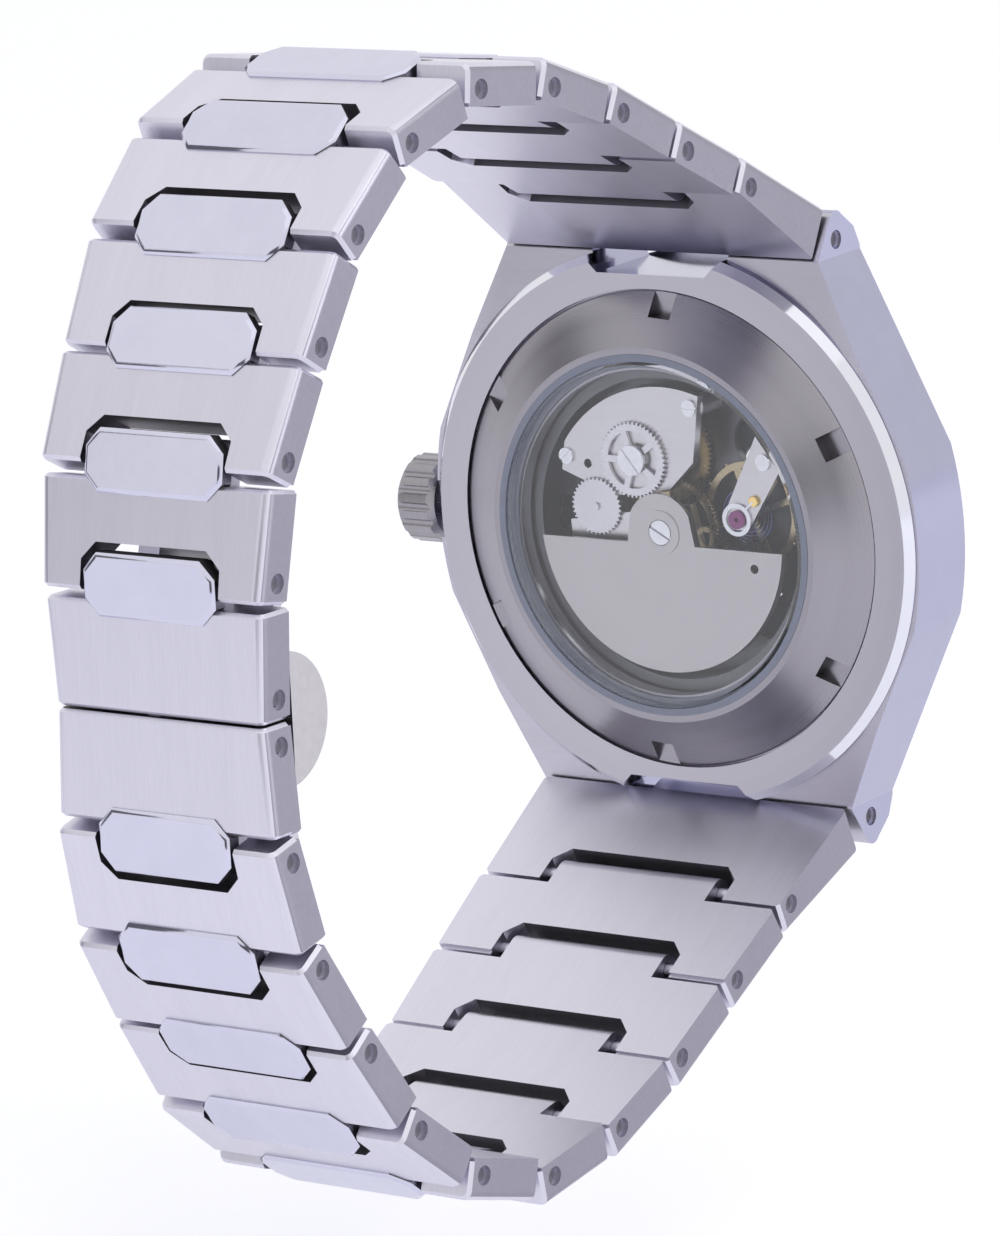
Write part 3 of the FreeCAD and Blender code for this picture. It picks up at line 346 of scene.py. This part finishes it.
# Heights over the pin line, in metres for picking rims and in millimetres for picking finishes.
body_top, body_depth, body_slack, cap_start, end_depth = 0.0018, 0.00035, 0.00005, 0.0001, 0.0003
end_round, body_round, cap_round = 0.00060, 0.00030, 0.00014
cap_level, gap_level, gap_half_width, pin_reach = 1.82, 1.75, 7, 0.6
slight_turn = math.radians(20)
BRUSHED, SIDE, POLISHED, PIN, PAINTED_SHADE = range(5)
link_finishes = (link_brushed, link_side, link_polished, pin_end, painted_gap_shade)
for side in ("upper", "lower"):
    for place in range(1, links_per_side + 1):
        near = pin_places[side][place]
        pin = pin_places[side][place + 1]
        along = (pin - near).normalized()
        outward = Vector((0, -along.z, along.y)) * (1 if side == "upper" else -1)
        node_name = "%s_link_%02d" % (side, place)
        shape = bmesh.new()
        shape.from_mesh(nodes[node_name].data)
        bmesh.ops.remove_doubles(shape, verts=shape.verts, dist=0.000001)
        bmesh.ops.dissolve_limit(shape, angle_limit=math.radians(0.5), verts=shape.verts,
                                 edges=shape.edges)
        cap_rims = []
        body_rims = []
        end_rims = []
        reach = [(vert.co - near / 1000).dot(along) for vert in shape.verts
                 if abs((vert.co - near / 1000).dot(outward) - body_top) < body_depth]
        for edge in shape.edges:
            if not edge.is_manifold or not edge.is_convex or edge.calc_face_angle(0) < slight_turn:
                continue
            ends = [(vert.co - near / 1000).dot(outward) for vert in edge.verts]
            if min(ends) > body_top + cap_start:
                cap_rims.append(edge)
            elif min(ends) > body_top - body_depth and max(ends) < body_top + body_slack:
                places = [(vert.co - near / 1000).dot(along) for vert in edge.verts]
                if max(places) < min(reach) + end_depth or min(places) > max(reach) - end_depth:
                    end_rims.append(edge)
                else:
                    body_rims.append(edge)
        soften(shape, end_rims, end_round, 6)
        soften(shape, body_rims, body_round, 4)
        soften(shape, cap_rims, cap_round, 3)
        shell = object_from("rounded_" + node_name, shape, *link_finishes)
        middle, normal = faces_of(shell)
        height = (middle - np.array(near)) @ np.array(outward)
        facing = normal @ np.array(outward)
        sideways = np.abs(normal[:, 0]) > 0.8
        choice = np.full(len(middle), BRUSHED, np.int32)
        choice[sideways] = SIDE
        choice[(height > cap_level) & (facing > -0.2)] = POLISHED
        # Faces across the link in its middle, below the cap, get the painted shade that stands in
        # for shadow in the gaps.
        choice[(np.abs(facing) < 0.4) & ~sideways & (height < gap_level)
               & (np.abs(middle[:, 0]) < gap_half_width)] = PAINTED_SHADE
        for face in shell.data.polygons:
            spread = [shell.data.vertices[corner].co * 1000 - pin for corner in face.vertices]
            if sideways[face.index] and max(math.hypot(gap.y, gap.z) for gap in spread) < pin_reach:
                choice[face.index] = PIN
        shell.data.polygons.foreach_set("material_index", choice)
        flat_sides = (np.abs(normal[:, 0]) > 0.97) | (np.abs(facing) > 0.98)
        shell.data.polygons.foreach_set("use_smooth", ~flat_sides)
        split = shell.modifiers.new("sharp_edges", "EDGE_SPLIT")
        split.split_angle = math.radians(32)
        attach(shell, node_name)
        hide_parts(node_name)

# ---------------------------------------------------------------- middle case
# The case is machined from one block. The back and lug faces are brushed, the flanks and the bevel
# round the back are polished.
case_brushed = steel("case_brushed", (500, 900, 7000), (0.62, 0.60, 0.68), (0.44, 0.42, 0.48), 0.28)
case_polished = steel("case_polished", (300, 300, 300), (0.46, 0.46, 0.60), (0.38, 0.38, 0.50),
                      0.10, spread=0.05, depth=0.05)
case_bevel = steel("case_bevel", (300, 300, 300), (0.80, 0.80, 0.86), (0.70, 0.70, 0.78), 0.08,
                   spread=0.04, depth=0.05)
case_land = steel("case_land", 9000, (0.58, 0.56, 0.62), (0.42, 0.40, 0.45), 0.28,
                  round_about=(0, 0))
middle, normal = faces_of(nodes["mid_case"])
radius = np.hypot(middle[:, 0], middle[:, 2])
choice = np.zeros(len(middle), np.int32)
choice[(np.abs(normal[:, 1]) < 0.5)] = 1
bevel_bottom, bevel_inner, bevel_outer = -0.63, 20.55, 21.35
bore, land_level = 18.5, -0.05
choice[(middle[:, 1] > bevel_bottom) & (radius > bevel_inner) & (radius < bevel_outer)] = 2
choice[(normal[:, 1] > 0.9) & (middle[:, 1] > land_level)] = 3
choice[radius < bore] = 0
dress("mid_case", [case_brushed, case_polished, case_bevel, case_land], choice)
dress("lug_pins", [pin_end])
bezel_polished = steel("bezel_polished", 3000, (0.68, 0.68, 0.78), (0.60, 0.60, 0.70), 0.12,
                       round_about=(0, 0), depth=0.1)
dress("bezel", [bezel_polished])

# ---------------------------------------------------------------- screwed back and its window
# The back is steel turned on a lathe, so its lines are circles, with notches for the wrench that
# screws it down. The window is pressed in over a seal.
# Partly painted shade: the turned back is made darker than its steel to stand in for the shade that
# falls on it inside the ring of the bracelet. Its circular lines are real turning.
turned_back_with_painted_shade = steel("turned_back_with_painted_shade", 11000, (0.43, 0.415, 0.46), (0.27, 0.257, 0.285), 0.22,
                    round_about=(0, 0), spread=0.12)
back_edge = steel("back_edge", 5000, (0.72, 0.71, 0.76), (0.58, 0.57, 0.62), 0.14,
                  round_about=(0, 0))


def plain(name, colour, roughness, metallic=0.0, wear=0.1, scale=1500):
    """Finish without lines: a slow change of shade and of gloss."""
    made = bpy.data.materials.new(name)
    made.use_nodes = True
    tree = made.node_tree
    shader = tree.nodes["Principled BSDF"]
    shader.inputs["Metallic"].default_value = metallic
    where = tree.nodes.new("ShaderNodeTexCoord")
    patch = tree.nodes.new("ShaderNodeTexNoise")
    patch.inputs["Scale"].default_value = scale
    patch.inputs["Detail"].default_value = 3.0
    tint = tree.nodes.new("ShaderNodeMix")
    tint.data_type = "RGBA"
    tint.inputs["A"].default_value = (*[c * (1 - wear) for c in colour], 1)
    tint.inputs["B"].default_value = (*[min(1, c * (1 + wear)) for c in colour], 1)
    gloss = tree.nodes.new("ShaderNodeMapRange")
    gloss.inputs["To Min"].default_value = roughness * 0.8
    gloss.inputs["To Max"].default_value = min(1, roughness * 1.25)
    tree.links.new(where.outputs["Object"], patch.inputs["Vector"])
    tree.links.new(patch.outputs["Fac"], tint.inputs["Factor"])
    tree.links.new(patch.outputs["Fac"], gloss.inputs["Value"])
    tree.links.new(tint.outputs["Result"], shader.inputs["Base Color"])
    tree.links.new(gloss.outputs["Result"], shader.inputs["Roughness"])
    return made


middle, normal = faces_of(nodes["back_ring"])
notch_shade = plain("notch_shade", (0.13, 0.125, 0.13), 0.4, 1.0)
notch_inner, notch_outer, notch_bottom = 14.2, 17.9, -0.6
radius = np.hypot(middle[:, 0], middle[:, 2])
choice = (np.abs(normal[:, 1]) < 0.35).astype(np.int32)
choice[(choice == 1) & (radius > notch_inner) & (radius < notch_outer)
       & (middle[:, 1] > notch_bottom)] = 2
dress("back_ring", [turned_back_with_painted_shade, back_edge, notch_shade], choice)


def clear(name, tint, roughness):
    """Clear glass that lets lamplight through to what is behind it."""
    made = bpy.data.materials.new(name)
    made.use_nodes = True
    tree = made.node_tree
    shader = tree.nodes["Principled BSDF"]
    shader.inputs["Base Color"].default_value = (*tint, 1)
    shader.inputs["Roughness"].default_value = roughness
    shader.inputs["IOR"].default_value = 1.5
    shader.inputs["Transmission Weight"].default_value = 1.0
    through = tree.nodes.new("ShaderNodeBsdfTransparent")
    either = tree.nodes.new("ShaderNodeMixShader")
    path = tree.nodes.new("ShaderNodeLightPath")
    tree.links.new(path.outputs["Is Shadow Ray"], either.inputs[0])
    tree.links.new(shader.outputs[0], either.inputs[1])
    tree.links.new(through.outputs[0], either.inputs[2])
    tree.links.new(either.outputs[0], tree.nodes["Material Output"].inputs["Surface"])
    return made


window_glass = clear("window_glass", (0.97, 0.98, 1.0), 0.0)
dress("back_glass", [window_glass])
dress("crystal", [clear("front_crystal", (0.98, 0.99, 1.0), 0.0)])
dress("gaskets", [plain("seal_plastic", (0.34, 0.37, 0.45), 0.35)])

# ---------------------------------------------------------------- crown
# The crown is turned from steel bar and fluted round its rim for grip. It is screwed on the winding
# stem, and both slide out together to set the hands.
dress("crown", [steel("crown_steel", (6000, 600, 600), (0.44, 0.42, 0.45), (0.25, 0.24, 0.26),
                      0.24)])
dress("winding_stem", [plain("stem_steel", (0.55, 0.54, 0.56), 0.25, 1.0)])

# ---------------------------------------------------------------- movement
# Plates and bridges are milled from brass and nickel-plated, with straight graining. Wheels are
# stamped and gilt, the bearings are pressed-in ruby, and steel screws hold the bridges down.
plate_nickel = steel("plate_nickel", (700, 700, 5000), (0.74, 0.72, 0.73), (0.58, 0.56, 0.58),
                     0.26)
for name in ("barrel_bridge", "train_bridge", "balance_cock"):
    dress(name, [plate_nickel])
dress("main_plate", [plain("plate_grey", (0.16, 0.16, 0.17), 0.35, 1.0)])
dress("movement_ring", [steel("ring_steel", 7000, (0.56, 0.55, 0.60), (0.42, 0.41, 0.46), 0.28,
                              round_about=(0, 0))])
gilt = plain("gilt_brass", (0.46, 0.38, 0.24), 0.28, 1.0)
for name in ("barrel", "centre_wheel", "third_wheel", "fourth_wheel", "balance_wheel"):
    dress(name, [gilt])
dress("ratchet_wheel", [steel("ratchet_steel", 9000, (0.76, 0.75, 0.77), (0.55, 0.54, 0.57), 0.22,
                              round_about=(0.0026, 0.0052))])
dress("reversing_wheel", [steel("reverser_steel", 9000, (0.74, 0.73, 0.76), (0.54, 0.53, 0.56),
                                0.22, round_about=(0.0062, 0.0014))])
train_steel = plain("train_steel", (0.62, 0.61, 0.64), 0.2, 1.0)
dress("escape_wheel", [train_steel])
dress("pallet_fork", [train_steel])
dress("hairspring", [plain("blued_spring", (0.10, 0.13, 0.34), 0.25, 1.0)])
dress("jewels", [plain("ruby", (0.45, 0.06, 0.34), 0.08)])
screw_steel = plain("screw_steel", (0.70, 0.70, 0.73), 0.15, 1.0)
dress("movement_screws", [screw_steel])


def raise_faces(shape, faces, height):
    """Extrudes flat faces into a slab of that height."""
    risen = bmesh.ops.extrude_face_region(shape, geom=faces)
    corners = [item for item in risen["geom"] if isinstance(item, bmesh.types.BMVert)]
    bmesh.ops.translate(shape, vec=(0, height, 0), verts=corners)


lay_flat = Matrix.Rotation(math.radians(-90), 4, "X")


def slotted_head(name, body, place, radius, low, high, turn):
    """Polished screw head with a straight slot: a disc below and two half discs above it."""
    head = bmesh.new()
    groove = radius * 0.14
    above = Matrix.Translation((0, (high - low) * 0.2, 0)) @ lay_flat
    for side in (-1, 1):
        made = bmesh.ops.create_circle(head, cap_ends=True, segments=48, radius=radius * 0.995,
                                       matrix=above)
        corners = made["verts"]
        faces = list({face for vert in corners for face in vert.link_faces})
        edges = list({edge for vert in corners for edge in vert.link_edges})
        cutting = bmesh.ops.bisect_plane(head, geom=corners + edges + faces, dist=1e-8,
                                         plane_co=(side * groove, 0, 0), plane_no=(side, 0, 0),
                                         clear_inner=True)
        kept = [item for item in cutting["geom"] if isinstance(item, bmesh.types.BMFace)]
        raise_faces(head, kept, (high - low) * 0.8)
    bottom = bmesh.ops.create_circle(head, cap_ends=True, segments=48, radius=radius,
                                     matrix=lay_flat)
    base = list({face for vert in bottom["verts"] for face in vert.link_faces})
    raise_faces(head, base, (high - low) * 0.35)
    bmesh.ops.transform(head, verts=head.verts, matrix=Matrix.Translation(
        (place[0], low, place[1])) @ Matrix.Rotation(math.radians(turn), 4, "Y"))
    bmesh.ops.recalc_face_normals(head, faces=head.faces)
    shown = object_from(name, head, screw_steel)
    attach(shown, body)


slotted_head("ratchet_screw", "ratchet_wheel", (0.0026, 0.0052), 0.00115, -0.00030, -0.00012, 38)
slotted_head("rotor_screw", "rotor", (0, 0), 0.00095, 0.00020, 0.00043, 62)
rotor_plate = steel("rotor_plate", 9000, (0.57, 0.55, 0.55), (0.46, 0.44, 0.45), 0.26,
                    round_about=(0, 0))
dress("rotor", [rotor_plate])

# ---------------------------------------------------------------- regulator
# A steel lever is clamped by its ring round the balance bearing and turns to set the rate. A gilt
# stud at its end holds the outer end of the hairspring.
regulator_middle = Vector((-0.0063, -0.00068, 0.0012))
stud_place = Vector((-0.0079, -0.00068, 0.0027))
lever = bmesh.new()
for ring_radius in (0.00092, 0.00125):
    bmesh.ops.create_circle(lever, cap_ends=False, segments=48, radius=ring_radius,
                            matrix=Matrix.Translation(regulator_middle) @ lay_flat)
ring = bmesh.ops.bridge_loops(lever, edges=list(lever.edges))
raise_faces(lever, ring["faces"], 0.00016)
reach_out = stud_place - regulator_middle
arm_middle = regulator_middle + reach_out * 0.78 + Vector((0, 0.00008, 0))
bmesh.ops.create_cube(lever, size=1.0, matrix=Matrix.Translation(arm_middle)
                      @ reach_out.to_track_quat("Z", "Y").to_matrix().to_4x4()
                      @ Matrix.Diagonal((0.00034, 0.00016, reach_out.length * 0.40, 1)))
bmesh.ops.recalc_face_normals(lever, faces=lever.faces)
lever_shown = object_from("regulator_lever", lever, screw_steel)
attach(lever_shown, "case")
stud = bmesh.new()
bmesh.ops.create_cone(stud, cap_ends=True, segments=40, radius1=0.00042, radius2=0.00042,
                      depth=0.00024, matrix=Matrix.Translation(stud_place + Vector((0, 0.00012, 0)))
                      @ lay_flat)
crisp = [edge for edge in stud.edges if edge.calc_face_angle(0) > 1.0]
soften(stud, crisp, 0.00005, 2)
gold_stud = plain("gold_stud", (0.95, 0.66, 0.24), 0.18, 1.0)
stud_shown = object_from("hairspring_stud", stud, gold_stud)
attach(stud_shown, "case")

# ---------------------------------------------------------------- dial and hands
# The open dial and the ring round it are cut from brass sheet and lacquered dark. The hour batons
# are riveted on, and the polished hands are pushed on their posts.
lacquer = plain("dial_lacquer", (0.035, 0.038, 0.05), 0.45)
dress("dial", [lacquer])
dress("chapter_ring", [lacquer])
applied = plain("applied_steel", (0.72, 0.72, 0.75), 0.12, 1.0)
for name in ("hour_markers", "hour_hand", "minute_hand", "seconds_hand"):
    dress(name, [applied])

# ---------------------------------------------------------------- butterfly clasp
# Two pressed steel arms fold on a curved bow and are brushed along the bracelet. Two sprung buttons
# in the sides of the bow let them go.
clasp_steel = steel("clasp_steel", (6000, 500, 500), (0.66, 0.65, 0.70), (0.50, 0.49, 0.54), 0.2)
for name in ("clasp_arm_upper", "clasp_arm_lower", "clasp_bow"):
    dress(name, [clasp_steel])
button_steel = plain("button_steel", (0.52, 0.50, 0.52), 0.2, 1.0)
dress("clasp_button_left", [button_steel])
dress("clasp_button_right", [button_steel])
